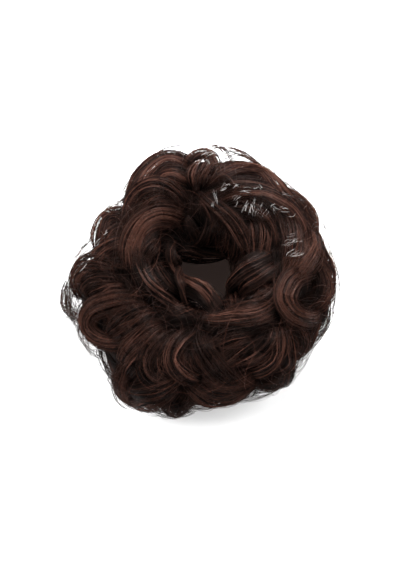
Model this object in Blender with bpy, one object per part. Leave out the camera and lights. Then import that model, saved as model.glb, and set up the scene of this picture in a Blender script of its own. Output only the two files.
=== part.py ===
"""A curly hair scrunchie: a ring of wavy locks sewn round an elastic band.

It lies flat, the way it is stored, with its pressed underside at z = 0 and its outline centred on
the Z axis. Places on the hair roll are given by two angles: "round" goes round the ring from +X, and
"over" goes round the roll's own section, 0 at its outermost line, 90 on the crown, 180 at the wall
of the hole and 270 underneath.
"""

from collections import namedtuple
from math import atan2, cos, degrees, floor, hypot, pi, radians, sin

import bmesh
import bpy

MM = 0.001

# The roll of hair
RING_RADIUS = 45.0 * MM  # from the middle of the hole to the crown of the roll
ROLL_HALF_WIDTH = 28.0 * MM  # across the roll, to the outside of its locks
ROLL_HALF_HEIGHT = 28.0 * MM
ROLL_CENTRE_HEIGHT = 25.5 * MM  # less than the half height, so the underside is pressed flat
OUTLINE_SWELL = 10.0 * MM
BACKING_DEPTH = 3.3 * MM  # from the outside of the locks in to the packed hair behind them
BACKING_BELLY = 27.0 * MM  # from the roll's centre line down, before the floor flattens it

# The locks
LOCK_RADIUS = 5.25 * MM  # a lock of girth 1
LOCK_TUCK = 7.0 * MM  # how deep the ends of a lock go into the packed hair
LOCK_LIFT = 7.0 * MM  # how far a lock of lift 1 stands off the roll
LOCK_TIP_SHARE = 0.55  # a lock's radius at its ends, as a share of its middle
LOCK_SEAT_SHARE = 0.8  # how much of its radius a lock sinks below the outside of the roll
LOCK_STATIONS = 8
SHORT_LOCK_STATIONS = 7
UNDER_LOCKS = 20  # these fan out from the band and curl up the outer wall
UNDER_LOCK_RADIUS = 7.0 * MM
HOLE_LOCKS = 10  # these hang down the wall of the hole
HOLE_LOCK_RADIUS = 6.0 * MM

# The elastic band
BAND_RADIUS = 2.5 * MM
BAND_SINK = 1.2 * MM  # its centre line lies this far below the surface of the packed hair
BAND_OVER_DEG = 222.0  # on the inner side of the underside, where a wearer reaches it
BAND_CLEARANCE = 0.3 * MM

RING_STEPS = 48
SECTION_STEPS = 16
BAND_STEPS = 40
BAND_SIDES = 8
FLOOR_CUT_DEPTH = 30.0 * MM

HAIR_COLOUR = (0.030, 0.013, 0.009, 1.0)
BAND_COLOUR = (0.010, 0.009, 0.009, 1.0)

# How far the outer side of the roll stands out or in, as shares of OUTLINE_SWELL, at even steps round
# the ring from +X.
OUTLINE_SWELLS = (
    0.05, -0.20, 0.03, -0.25, -0.30, -0.15, 0.20, 0.30, -0.20, -0.85, -0.80, -0.60,
    0.05, 0.15, -0.05, 0.05, 0.65, 0.50, -0.10, -0.20, 0.06, -0.05, -0.23, 0.15,
)

# One row for each lock that shows: the angles it passes on its way, its thickness as a share of
# LOCK_RADIUS, and its lift as a share of LOCK_LIFT.
Lock = namedtuple("Lock", "name round_deg over_deg girth lift")
LOCKS = (
    Lock("shoulder_back_left", (96, 105, 115, 127, 140), (63, 56, 57, 59, 61), 1.15, 0.1),
    Lock("crown_back_left", (96, 104, 113, 122), (84, 74, 68, 67), 1.0, 0.1),
    Lock("crown_arch", (104, 108, 115, 124, 134, 144, 152), (115, 97, 82, 70, 62, 68, 80), 1.0, 0.25),
    Lock("arch_left", (106, 118, 131, 144, 157, 170, 184),
         (131, 116, 105, 100, 99, 100, 105), 0.95, 0.35),
    Lock("arch_left_core", (114, 126, 138, 152, 166, 180, 196),
         (140, 122, 111, 107, 108, 111, 114), 0.85, 0.1),
    Lock("arch_inner", (129, 138, 150, 164, 180, 198, 216),
         (133, 121, 117, 118, 121, 125, 127), 0.85, 0.0),
    Lock("tuft_inner", (184, 168, 155, 144), (123, 122, 125, 132), 0.8, 0.4),
    Lock("shoulder_left", (144, 146, 152, 161, 169), (71, 48, 39, 41, 43), 0.95, 0.4),
    Lock("shoulder_left_core", (153, 155, 162, 170, 176), (92, 74, 67, 64, 59), 0.95, -0.05),
    Lock("fan_left", (162, 164, 170, 176, 177), (100, 83, 69, 60, 48), 0.85, 0.05),
    Lock("lobe_left_upper", (183, 180, 179, 182, 186, 192), (91, 73, 53, 37, 27, 27), 1.05, 0.2),
    Lock("lobe_left_middle", (191, 188, 188, 190, 192), (96, 80, 62, 45, 34), 1.0, 0.1),
    Lock("lobe_left_lower", (202, 198, 198, 197), (96, 80, 62, 46), 1.0, 0.0),
    Lock("hook_outer", (215, 207, 204, 203, 207, 214, 222, 228),
         (117, 93, 70, 48, 31, 30, 42, 62), 1.0, 0.3),
    Lock("hook_middle", (223, 217, 216, 216, 215), (116, 96, 74, 55, 38), 0.95, 0.1),
    Lock("hook_lower", (235, 228, 226, 224, 220), (115, 97, 77, 58, 40), 1.0, 0.1),
    Lock("drape_front_left", (242, 236, 234, 232, 232), (105, 88, 72, 53, 31), 1.0, 0.1),
    Lock("drape_front_low", (244, 240, 240, 238, 237), (94, 80, 64, 47, 27), 0.95, 0.0),
    Lock("loop_front_left", (232, 233, 234, 237, 242, 249, 254, 258),
         (48, 30, 7, -10, -19, 15, 27, 39), 0.95, 0.4),
    Lock("loop_front_band", (238, 245, 251, 256, 262), (3, 20, 34, 44, 48), 0.95, 0.15),
    Lock("wave_front_left", (250, 243, 241, 242, 246, 252, 260), (109, 90, 76, 62, 52, 47, 44), 1.0, 0.2),
    Lock("wave_front_inner", (256, 250, 248, 250, 254, 260), (106, 90, 76, 64, 55, 49), 0.95, 0.0),
    Lock("wave_front", (267, 260, 255, 254, 258, 264, 270), (116, 99, 85, 72, 61, 49, 37), 0.95, 0.25),
    Lock("fall_front", (269, 268, 272, 278, 284, 290), (114, 94, 76, 57, 39, 23), 0.95, 0.25),
    Lock("tail_front_left", (252, 256, 260, 264, 266), (22, 7, -3, 8, 23), 0.75, 0.15),
    Lock("edge_front", (296, 289, 282, 274, 268, 262), (21, 16, 10, 13, 25, 40), 1.15, 0.2),
    Lock("bowl_front", (298, 290, 282, 275, 268), (35, 29, 29, 36, 49), 1.0, 0.1),
    Lock("swirl_front", (310, 300, 290, 280, 272), (82, 89, 91, 86, 80), 0.95, 0.1),
    Lock("drape_front_right", (314, 304, 293, 284, 278), (72, 74, 70, 64, 59), 0.95, 0.0),
    Lock("fan_front_a", (319, 312, 305, 296, 289), (76, 68, 63, 60, 56), 0.95, 0.1),
    Lock("fan_front_b", (320, 314, 308, 300, 292), (72, 59, 48, 42, 35), 1.05, 0.2),
    Lock("fan_front_c", (323, 319, 314, 310, 303), (69, 51, 35, 23, 18), 1.0, 0.1),
    Lock("fan_front_d", (326, 326, 324, 319, 313), (66, 45, 25, 18, 20), 1.0, 0.05),
    Lock("edge_front_right", (341, 334, 328, 323, 316), (23, 21, 18, 15, 19), 0.8, 0.1),
    Lock("tail_front_right", (314, 310, 307, 303), (20, 5, -12, 2), 0.75, 0.2),
    Lock("edge_front_tip", (309, 302, 295), (11, 11, 14), 0.8, 0.1),
    Lock("band_front_inner", (330, 318, 306, 294, 281, 266), (90, 95, 103, 111, 122, 142), 1.05, 0.35),
    Lock("band_front_upper", (336, 324, 312, 300, 286), (104, 107, 112, 120, 132), 0.8, 0.15),
    Lock("band_front_lower", (324, 313, 303, 292, 280), (77, 85, 93, 103, 105), 0.95, 0.15),
    Lock("drape_inner_right", (0, 357, 351, 347, 314), (98, 118, 141, 176, 166), 1.0, 0.25),
    Lock("drape_inner_middle", (350, 342, 330, 316), (95, 108, 121, 129), 0.95, 0.1),
    Lock("drape_inner_low", (342, 332, 320), (96, 96, 100), 0.85, 0.15),
    Lock("fall_inner_outer", (179, 193, 208, 225, 246, 265), (111, 112, 115, 121, 124, 122), 0.95, 0.2),
    Lock("fall_inner_middle", (172, 188, 206, 228, 254, 273), (123, 130, 135, 140, 135, 122), 1.0, 0.25),
    Lock("fall_inner_hole", (172, 185, 202, 232, 260), (139, 153, 168, 165, 149), 1.0, 0.1),
    Lock("fall_back_a", (96, 86, 76, 80, 99), (104, 120, 140, 167, 199), 0.8, 0.0),
    Lock("fall_back_b", (88, 74, 58, 54, 75), (114, 127, 143, 168, 199), 0.85, 0.0),
    Lock("fall_back_c", (78, 59, 40, 28, 44), (121, 130, 141, 161, 195), 0.85, 0.0),
    Lock("inner_sweep_right", (94, 81, 63, 44, 24, 8), (95, 112, 121, 127, 132, 142), 1.0, 0.2),
    Lock("inner_fall_right", (50, 37, 24, 10, 358), (104, 108, 115, 124, 135), 1.0, 0.1),
    Lock("sweep_back_right", (90, 80, 70, 60, 50, 40, 32), (88, 69, 48, 33, 41, 42, 46), 1.2, 0.3),
    Lock("sweep_middle_right", (90, 78, 68, 56, 46, 36, 26, 17),
         (102, 92, 77, 64, 57, 56, 50, 42), 1.05, 0.0),
    Lock("sweep_inner_right", (80, 69, 58, 48, 38, 28, 18, 10),
         (111, 96, 81, 70, 65, 61, 55, 56), 1.0, 0.2),
    Lock("curl_back_right", (74, 62, 52, 40, 28, 16, 4), (116, 104, 96, 92, 92, 97, 104), 1.0, 0.25),
    Lock("edge_back_right", (61, 50, 43, 35, 26, 18), (21, 35, 22, 21, 21, 19), 0.75, 0.1),
    Lock("edge_right", (28, 20, 10, 2, 355, 347), (33, 27, 28, 23, 13, 19), 0.8, 0.3),
    Lock("crest_right", (36, 27, 16, 5, 353), (68, 74, 78, 86, 93), 1.0, 0.2),
    Lock("fall_right", (25, 15, 6, 354, 345), (65, 66, 73, 82, 85), 1.0, 0.1),
    Lock("rise_right", (22, 14, 4, 356, 347), (35, 43, 61, 75, 84), 1.05, 0.2),
    Lock("curl_right_outer", (0, 355, 348, 336, 330, 331, 336, 343),
         (46, 71, 83, 83, 69, 49, 29, 22), 1.0, 0.35),
    Lock("rim_right", (6, 0, 352, 344, 338), (47, 39, 33, 33, 34), 0.95, 0.1),
    Lock("crown_back", (94, 94, 91, 87), (92, 79, 64, 43), 0.95, 0.1),
    Lock("loop_back", (100, 94, 88, 84, 80), (58, 44, 38, 50, 66), 0.65, 0.2),
    Lock("crown_strands", (88, 84, 80), (84, 68, 58), 0.65, 0.1),
    Lock("hole_left", (170, 190, 210), (136, 162, 190), 1.6, 0.5),
    Lock("rim_left", (138, 160, 182, 205, 228), (142, 151, 154, 151, 142), 1.1, 1.2),
    Lock("rim_back", (62, 84, 108, 132), (150, 158, 160, 152), 1.0, 0.6),
    Lock("hole_tuft", (196, 220, 246, 272, 296), (160, 165, 160, 147, 130), 1.1, 1.0),
    Lock("hole_tuft_low", (204, 230, 256, 280), (150, 152, 146, 134), 1.0, 0.9),
    Lock("hole_front_a", (203, 223, 243), (138, 162, 190), 1.75, 0.8),
    Lock("hole_front_b", (234, 255, 276), (134, 160, 188), 1.75, 1.0),
    Lock("hole_front_c", (266, 286, 306), (134, 160, 186), 1.75, 0.9),
    Lock("hole_front_d", (298, 316, 334), (138, 162, 190), 1.6, 0.5),
    Lock("curl_in_hole", (196, 222, 252, 284), (142, 150, 152, 142), 1.2, 0.8),
)


def curve_through(a, b, c, d, t):
    """A Catmull-Rom curve between b and c, with a before and d after them."""
    return b + 0.5 * t * (c - a + t * (2 * a - 5 * b + 4 * c - d + t * (3 * (b - c) + d - a)))


def outline_swell(round_deg):
    place = round_deg % 360 / 360 * len(OUTLINE_SWELLS)
    first = floor(place)
    near = (OUTLINE_SWELLS[(first + step) % len(OUTLINE_SWELLS)] for step in (-1, 0, 1, 2))
    return OUTLINE_SWELL * curve_through(*near, place - first)


def surface(round_deg, over_deg, offset):
    """The point at these angles, this far outside the roll. A negative offset lies inside it."""
    turn, over = radians(round_deg), radians(over_deg)
    out = RING_RADIUS + (ROLL_HALF_WIDTH + offset) * cos(over)
    out += outline_swell(round_deg) * max(cos(over), 0.0) ** 0.7
    up = ROLL_CENTRE_HEIGHT + (ROLL_HALF_HEIGHT + offset) * sin(over)
    return (out * cos(turn), out * sin(turn), up)


def unwrapped(degrees):
    """Angles that go on past 0 or 360 where the next one is the short way round."""
    made = [degrees[0]]
    for value in degrees[1:]:
        made.append(made[-1] + (value - made[-1] + 180) % 360 - 180)
    return made


def smooth(values, share):
    """A Catmull-Rom curve through evenly spaced values, read at a share from 0 to 1."""
    place = min(share, 0.999999) * (len(values) - 1)
    first = floor(place)
    near = (values[min(max(first + step, 0), len(values) - 1)] for step in (-1, 0, 1, 2))
    return curve_through(*near, place - first)


def material(name, colour, roughness):
    made = bpy.data.materials.new(name)
    made.use_nodes = True
    shader = made.node_tree.nodes["Principled BSDF"]
    shader.inputs["Base Color"].default_value = colour
    shader.inputs["Roughness"].default_value = roughness
    shader.inputs["Metallic"].default_value = 0.0
    return made


def only_in(collection, obj):
    """Puts an object in this collection and takes it out of the one it was made in."""
    for owner in list(obj.users_collection):
        owner.objects.unlink(obj)
    collection.objects.link(obj)
    return obj


def as_helper(obj):
    """Keeps a cutter, or a solid that another takes in, out of the part."""
    obj.hide_render = True
    obj.display_type = "WIRE"
    return obj


def tube(name, points, radii, collection):
    """A round tube through points, made from a curve and turned into a closed mesh."""
    curve = bpy.data.curves.new(name, "CURVE")
    curve.dimensions = "3D"
    curve.bevel_depth = 1.0
    curve.bevel_resolution = 2
    curve.use_fill_caps = True
    spline = curve.splines.new("POLY")
    spline.points.add(len(points) - 1)
    for point, place, radius in zip(spline.points, points, radii):
        point.co = (*place, 1.0)
        point.radius = radius
    guide = only_in(collection, bpy.data.objects.new(name + "_line", curve))
    bpy.context.view_layer.update()
    graph = bpy.context.evaluated_depsgraph_get()
    mesh = bpy.data.meshes.new_from_object(guide.evaluated_get(graph))
    shape = bmesh.new()
    shape.from_mesh(mesh)
    bmesh.ops.remove_doubles(shape, verts=shape.verts, dist=0.02 * MM)
    bmesh.ops.recalc_face_normals(shape, faces=shape.faces)
    shape.to_mesh(mesh)
    shape.free()
    made = only_in(collection, bpy.data.objects.new(name, mesh))
    made.matrix_world = guide.matrix_world
    bpy.data.objects.remove(guide)
    return as_helper(made)


def lock(row, radius, collection):
    """A lock lies on the roll, swells in its middle and tucks both its ends into the packed hair."""
    stations = LOCK_STATIONS if len(row.round_deg) > 4 else SHORT_LOCK_STATIONS
    turns = unwrapped(row.round_deg)
    points, radii = [], []
    for station in range(stations):
        share = station / (stations - 1)
        swell = sin(pi * share) ** 0.5
        thick = radius * row.girth * (LOCK_TIP_SHARE + (1 - LOCK_TIP_SHARE) * swell)
        offset = row.lift * LOCK_LIFT * sin(pi * share) - LOCK_SEAT_SHARE * thick - LOCK_TUCK * (1 - swell)
        points.append(surface(smooth(turns, share), smooth(row.over_deg, share), offset))
        radii.append(thick)
    return tube(row.name, points, radii, collection)


def under_lock(number, collection):
    """Every second lock below reaches further up the outer wall, and each third one leans more."""
    start = 360.0 * number / UNDER_LOCKS
    lean = 18.0 + 5.0 * (number % 3)
    top = 40.0 if number % 2 else 22.0
    row = Lock(f"under_{number:02d}", (start, start + lean * 0.4, start + lean, start + lean * 1.4),
               (-95.0, -58.0, -18.0, top), 1.0, 0.0)
    lock(row, UNDER_LOCK_RADIUS, collection)


def hole_lock(number, collection):
    """The locks in the hole hang from its rim to near the floor and lean the other way."""
    start = 360.0 * number / HOLE_LOCKS
    lean = 24.0 + 6.0 * (number % 3)
    row = Lock(f"hole_{number:02d}", (start, start - lean * 0.5, start - lean), (130.0, 162.0, 196.0),
               1.0, 0.0)
    lock(row, HOLE_LOCK_RADIUS, collection)


def packed_hair(collection):
    """The hair packed round the band, which the locks are fused to: a ring with its belly left full."""
    bpy.ops.mesh.primitive_torus_add(
        major_segments=RING_STEPS, minor_segments=SECTION_STEPS,
        major_radius=RING_RADIUS, minor_radius=ROLL_HALF_WIDTH - BACKING_DEPTH,
    )
    made = bpy.context.object
    made.name = "hair_curls"
    shape = bmesh.new()
    shape.from_mesh(made.data)
    half_width = ROLL_HALF_WIDTH - BACKING_DEPTH
    for vertex in shape.verts:
        reach = hypot(vertex.co.x, vertex.co.y)
        share = min(max((reach - RING_RADIUS) / half_width, 0.0), 1.0)
        grown = 1 + outline_swell(degrees(atan2(vertex.co.y, vertex.co.x))) * share**0.7 / reach
        tall = ROLL_HALF_HEIGHT - BACKING_DEPTH if vertex.co.z > 0 else BACKING_BELLY
        vertex.co.x *= grown
        vertex.co.y *= grown
        vertex.co.z = ROLL_CENTRE_HEIGHT + vertex.co.z / half_width * tall
    shape.to_mesh(made.data)
    shape.free()
    return only_in(collection, made)


def band_place():
    """(radius round the hole, height) of the band's centre line, just inside the packed hair's surface."""
    over = radians(BAND_OVER_DEG)
    out = RING_RADIUS + (ROLL_HALF_WIDTH - BACKING_DEPTH - BAND_SINK) * cos(over)
    return out, ROLL_CENTRE_HEIGHT + (BACKING_BELLY - BAND_SINK) * sin(over)


def ring_cord(name, radius, sides, collection):
    """A round ring along the band's line."""
    out, height = band_place()
    bpy.ops.mesh.primitive_torus_add(
        major_segments=BAND_STEPS, minor_segments=sides, major_radius=out, minor_radius=radius
    )
    made = bpy.context.object
    made.name = name
    made.location = (0.0, 0.0, height)
    return only_in(collection, made)


def centre_outline(hair, pieces):
    """Hangs every piece and helper on one empty, and moves it so that the outline is centred on Z."""
    place = bpy.data.objects.new("hole_centre", None)
    bpy.context.scene.collection.objects.link(place)
    for piece in pieces:
        piece.parent = place
    bpy.context.view_layer.update()
    graph = bpy.context.evaluated_depsgraph_get()
    corners = [hair.matrix_world @ vertex.co for vertex in hair.evaluated_get(graph).data.vertices]
    for axis in (0, 1):
        places = [corner[axis] for corner in corners]
        place.location[axis] = -(min(places) + max(places)) / 2
    bpy.context.view_layer.update()


def floor_cutter(collection):
    """Everything below z = 0 is pressed flat by what the scrunchie lies on."""
    reach = 3 * (RING_RADIUS + ROLL_HALF_WIDTH)
    bpy.ops.mesh.primitive_cube_add(size=1.0, location=(0.0, 0.0, -FLOOR_CUT_DEPTH / 2))
    made = bpy.context.object
    made.name = "floor_cutter"
    made.scale = (reach, reach, FLOOR_CUT_DEPTH)
    return as_helper(only_in(collection, made))


def boolean(obj, name, operation, other=None, collection=None):
    made = obj.modifiers.new(name, "BOOLEAN")
    made.operation = operation
    made.solver = "EXACT"
    if collection is not None:
        made.operand_type = "COLLECTION"
        made.collection = collection
    else:
        made.object = other


def new_collection(name):
    made = bpy.data.collections.new(name)
    bpy.context.scene.collection.children.link(made)
    return made


def main():
    for obj in list(bpy.data.objects):
        bpy.data.objects.remove(obj)
    part = new_collection("hair_scrunchie")
    locks = new_collection("lock_solids")
    cutters = new_collection("cutters")

    hair = packed_hair(part)
    for row in LOCKS:
        lock(row, LOCK_RADIUS, locks)
    for number in range(UNDER_LOCKS):
        under_lock(number, locks)
    for number in range(HOLE_LOCKS):
        hole_lock(number, locks)
    boolean(hair, "fuse_locks", "UNION", collection=locks)
    boolean(hair, "press_flat", "DIFFERENCE", other=floor_cutter(cutters))
    groove = as_helper(ring_cord("band_groove", BAND_RADIUS + BAND_CLEARANCE, SECTION_STEPS, cutters))
    boolean(hair, "band_seat", "DIFFERENCE", other=groove)
    hair.data.materials.append(material("hair", HAIR_COLOUR, 0.42))

    band = ring_cord("elastic_band", BAND_RADIUS, BAND_SIDES, part)
    band.data.materials.append(material("elastic", BAND_COLOUR, 0.75))
    band.data.shade_smooth()
    centre_outline(hair, [*part.objects, *locks.objects, *cutters.objects])


main()
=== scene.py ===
# %% [markdown]
# # A messy-bun hairpiece, strand by strand
# The object is a scrunchie of false hair: short wavy locks sewn in a ring round an elastic band. It
# lies flat, seen from above and a little in front. Hair could be made with Blender's own hair curves,
# but those vanish when a model is exported. Here every strand is a thin closed tube of its own, and
# all the strands of one part of the ring are one mesh, so what is seen is plain mesh that an export keeps.
# The imported model is loaded first. It gives the band's place, and its own hair is hidden.

from collections import namedtuple
from math import ceil, radians, tau

import bmesh
import bpy
import numpy as np
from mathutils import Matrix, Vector


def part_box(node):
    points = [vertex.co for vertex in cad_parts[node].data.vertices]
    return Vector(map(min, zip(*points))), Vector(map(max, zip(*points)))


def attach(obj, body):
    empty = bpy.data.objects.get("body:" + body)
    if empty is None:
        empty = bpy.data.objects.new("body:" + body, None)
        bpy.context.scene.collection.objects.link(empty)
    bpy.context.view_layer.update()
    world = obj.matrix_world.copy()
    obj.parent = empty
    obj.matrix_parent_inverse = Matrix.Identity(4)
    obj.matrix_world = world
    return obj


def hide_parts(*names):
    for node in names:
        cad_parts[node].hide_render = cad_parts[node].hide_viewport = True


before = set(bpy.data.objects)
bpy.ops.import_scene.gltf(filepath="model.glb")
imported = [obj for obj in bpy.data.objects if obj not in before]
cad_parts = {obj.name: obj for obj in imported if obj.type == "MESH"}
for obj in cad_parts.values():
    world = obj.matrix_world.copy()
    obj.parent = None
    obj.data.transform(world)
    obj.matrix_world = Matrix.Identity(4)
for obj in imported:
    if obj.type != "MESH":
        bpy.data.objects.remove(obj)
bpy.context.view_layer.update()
MM = 0.001
band_low, band_high = (np.array(corner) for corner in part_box("elastic_band"))
hole_middle = (band_low + band_high) / 2
print("hole's middle in mm:", (hole_middle / MM).round(2))

# %% [markdown]
# ## The camera
# The photograph looks down at about 70 degrees, from far enough away that the ring is hardly distorted.
# A long lens at 1 m does the same. The view's height is 570 px of 0.545 mm, so the focal length follows
# from that, and the camera aims a little in front of the ring's middle, as the photograph does.

# %% The camera
MM_PER_PX = 0.545
FRAME_TALL_PX = 570
CAMERA_ELEVATION = radians(70)
CAMERA_DISTANCE = 1000 * MM
SENSOR_TALL = 24
ROLL_HEIGHT = 25.5 * MM  # of the roll's own centre line
AIM_OFFSET = Vector((-1.1 * MM, -2.9 * MM, 0))
aim = Vector(hole_middle) + AIM_OFFSET
aim.z = ROLL_HEIGHT

bpy.ops.object.camera_add(
    location=aim + Vector((0, -np.cos(CAMERA_ELEVATION), np.sin(CAMERA_ELEVATION))) * CAMERA_DISTANCE
)
camera = bpy.context.object
camera.rotation_euler = (radians(90) - CAMERA_ELEVATION, 0, 0)
camera.data.sensor_fit = "VERTICAL"
camera.data.sensor_height = SENSOR_TALL
camera.data.lens = SENSOR_TALL * CAMERA_DISTANCE / (FRAME_TALL_PX * MM_PER_PX * MM)
camera.data.clip_start = 0.05
bpy.context.scene.camera = camera
print("lens in mm:", round(camera.data.lens, 1))

# %% [markdown]
# ## Light and floor
# The picture has a white table and soft light from all round, the strongest from behind the hair, because
# the faint shadow falls towards the viewer. Four soft boxes give it. The surroundings give only a little
# of the light: dark hair mirrors what is round it, and an all-white room would turn it grey.
#
# The photograph shows an even dark brown through the hole. So the table there gets a painted shade, brown,
# and a painted faint glow of its own. The ring hides the edge of that patch from above. It belongs to the
# stage and isn't part of the hairpiece.

# %% Light and floor
SURROUNDINGS = 0.09
BOX_SIZE = 0.8
BOXES = (  # name, place in metres, watts
    ("back_box", (0.20, 1.05, 1.15), 108),
    ("left_box", (-1.05, 0.10, 0.95), 26),
    ("right_box", (1.05, 0.25, 0.95), 16),
    ("front_box", (0.0, -1.25, 0.80), 21),
)
# The patch is painted shade and painted glow: dim brown and a faint light of its own up to the first edge.
SHADE_PATCH_EDGE = (30 * MM, 42 * MM)  # from the hole's middle: brown up to the first, white from the second
SHADE_PATCH_COLOURS = (  # socket, brown patch, white table
    ("Base Color", (0.30, 0.22, 0.19, 1), (0.93, 0.93, 0.93, 1)),
    ("Emission Color", (0.0200, 0.0138, 0.0122, 1), (0, 0, 0, 1)),
)
scene = bpy.context.scene
scene.view_settings.view_transform = "Standard"
scene.world = bpy.data.worlds.new("studio")
scene.world.use_nodes = True
scene.world.node_tree.nodes["Background"].inputs["Color"].default_value = (1, 1, 1, 1)
scene.world.node_tree.nodes["Background"].inputs["Strength"].default_value = SURROUNDINGS


def area_light(name, place, power):
    """A square light that faces the hair."""
    bpy.ops.object.light_add(type="AREA", location=place)
    light = bpy.context.object
    light.name = name
    light.data.size = BOX_SIZE
    light.data.energy = power
    light.rotation_euler = (Vector(hole_middle) - Vector(place)).to_track_quat("-Z", "Y").to_euler()


def plain_material(name):
    """A new material, its node tree and its shader."""
    made = bpy.data.materials.new(name)
    made.use_nodes = True
    return made, made.node_tree, made.node_tree.nodes["Principled BSDF"]


def join(tree, node, inputs):
    """Links each input of a node to an output, or gives it a value."""
    for label, given in inputs.items():
        if isinstance(given, bpy.types.NodeSocket):
            tree.links.new(given, node.inputs[label])
        else:
            node.inputs[label].default_value = given


def add_node(tree, kind, inputs, **settings):
    """A new node. Its settings come first, because some of them decide which inputs it has."""
    node = tree.nodes.new("ShaderNode" + kind)
    for label, value in settings.items():
        setattr(node, label, value)
    join(tree, node, inputs)
    return node


for box in BOXES:
    area_light(*box)

bpy.ops.mesh.primitive_plane_add(size=6)
floor = bpy.context.object
floor.name = "table"


def table_material():
    """White, with a patch of painted brown shade and a painted faint glow where the hole shows it."""
    made, tree, shader = plain_material("white_table")
    place = add_node(tree, "TexCoord", {}).outputs["Object"]
    middle = (hole_middle[0], hole_middle[1], 0)
    apart = add_node(tree, "VectorMath", {0: place, 1: middle}, operation="DISTANCE")
    edge = add_node(tree, "MapRange", {
        "Value": apart.outputs["Value"], "From Min": SHADE_PATCH_EDGE[0], "From Max": SHADE_PATCH_EDGE[1],
    })
    for label, dim, bright in SHADE_PATCH_COLOURS:
        mix = add_node(
            tree, "Mix", {"A": dim, "B": bright, "Factor": edge.outputs["Result"]}, data_type="RGBA"
        )
        join(tree, shader, {label: mix.outputs["Result"]})
    join(tree, shader, {"Roughness": 0.9, "Emission Strength": 1.0})
    return made


floor.data.materials.append(table_material())

# %% [markdown]
# ## Places on the roll
# The hair is a fat ring, so a place on it is best given by two angles. "round" goes round the ring from
# the right, and "over" goes round the roll's own section: 0 at the outermost line, 90 on the crown, 180
# at the wall of the hole, and below 0 underneath. Strands then need no coordinates in space, and a whole
# lock is two short rows of angles with a smooth curve through them.

# %% Places on the roll
RING_RADIUS = 45 * MM
ROLL_RADIUS = 28 * MM
FLOOR_GAP = 0.35 * MM
SWELL = 10 * MM
SWELL_STEP = 15  # degrees round the ring between two values
OUTER_SWELLS = (
    0.05, -0.20, 0.03, -0.25, -0.30, -0.15, 0.20, 0.30, -0.20, -0.85, -0.80, -0.60,
    0.05, 0.15, -0.05, 0.05, 0.65, 0.50, -0.10, -0.20, 0.06, -0.05, -0.23, 0.15,
)


def curve(a, b, c, d, t):
    """A smooth (Catmull-Rom) step from b to c, with the values before and after them."""
    return b + 0.5 * t * (c - a + t * (2 * a - 5 * b + 4 * c - d + t * (3 * (b - c) + d - a)))


def outer_swell(turn):
    """How far the outer side of the roll stands out here, or in: the outline isn't a circle."""
    place = np.asarray(turn, float) % 360 / SWELL_STEP
    first = np.floor(place).astype(int)
    row = np.array(OUTER_SWELLS)
    return SWELL * curve(*(row[(first + step) % len(row)] for step in (-1, 0, 1, 2)), place - first)


def on_roll(turn, over, offset):
    """Points at these angles, this far outside the roll, and the roll's outward direction there."""
    swell = outer_swell(turn)
    turn, over = np.radians(turn), np.radians(over)
    out = RING_RADIUS + swell * np.maximum(np.cos(over), 0) ** 0.7 + (ROLL_RADIUS + offset) * np.cos(over)
    up = ROLL_HEIGHT + (ROLL_RADIUS + offset) * np.sin(over)
    points = np.stack([hole_middle[0] + out * np.cos(turn), hole_middle[1] + out * np.sin(turn), up], -1)
    outward = np.stack([np.cos(over) * np.cos(turn), np.cos(over) * np.sin(turn), np.sin(over)], -1)
    return points, outward


def through(values, share):
    """A smooth curve through evenly spaced values, read at shares from 0 to 1."""
    values = np.asarray(values, float)
    place = np.clip(share, 0, 0.999999) * (len(values) - 1)
    first = place.astype(int)
    near = (values[np.clip(first + step, 0, len(values) - 1)] for step in (-1, 0, 1, 2))
    return curve(*near, place - first)


def unwrapped(degrees):
    """Angles that go on past 0 or 360 where the next one is the short way round."""
    return np.degrees(np.unwrap(np.radians(degrees)))


# %% [markdown]
# ## The locks
# Each row is one lock as it lies in the photograph: the angles that it passes, its thickness and its
# lift as shares of the sizes below, and how much auburn hair is in it. Most of these locks are solid in
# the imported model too. A few thin or sunk ones are only here, and those round the hole lie a little
# differently: the tuft crosses the near left edge of the hole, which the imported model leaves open.

# %% The locks
LOCK_RADIUS = 5.25 * MM
LOCK_TUCK = 7.0 * MM
LOCK_LIFT = 7.0 * MM
LOCK_TIP_SHARE = 0.55
LOCK_SEAT_SHARE = 0.8

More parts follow.
